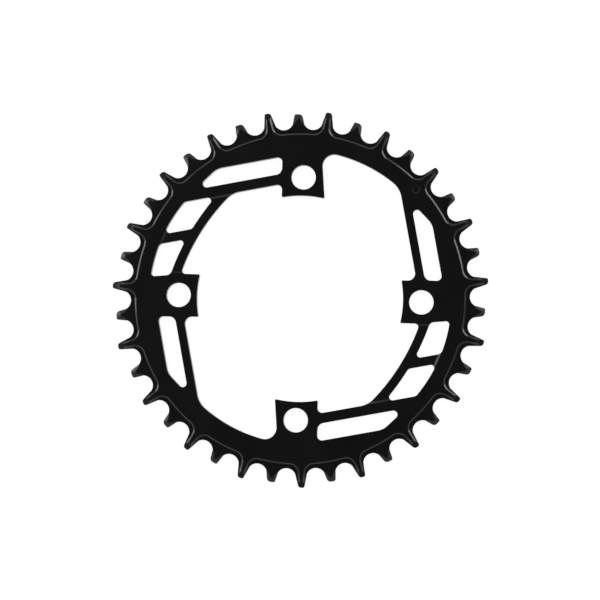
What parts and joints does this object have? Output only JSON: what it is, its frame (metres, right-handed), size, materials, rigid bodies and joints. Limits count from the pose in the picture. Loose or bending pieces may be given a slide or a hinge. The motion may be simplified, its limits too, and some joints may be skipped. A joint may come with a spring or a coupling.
{
  "type": "bicycle chainring",
  "caption": "Flat toothed ring of black aluminium that bolts to a crank by inward tabs; wide and narrow teeth take turns to hold the chain, with slots, windows and curved braces",
  "frame": {"origin": "centre of the bolt circle, on the plane of the back face", "axes": "+Z along the ring's axis, out of the front face; +Y to one of the bolts; +X to the next bolt clockwise, seen from the front"},
  "size_m": [0.161, 0.161, 0.0038],
  "materials": {
    "black_anodised": "satin black anodised, with lighter edges where the bevels catch the light"
  },
  "bodies": {
    "root": {"chainring": "black_anodised"}
  },
  "joints": []
}
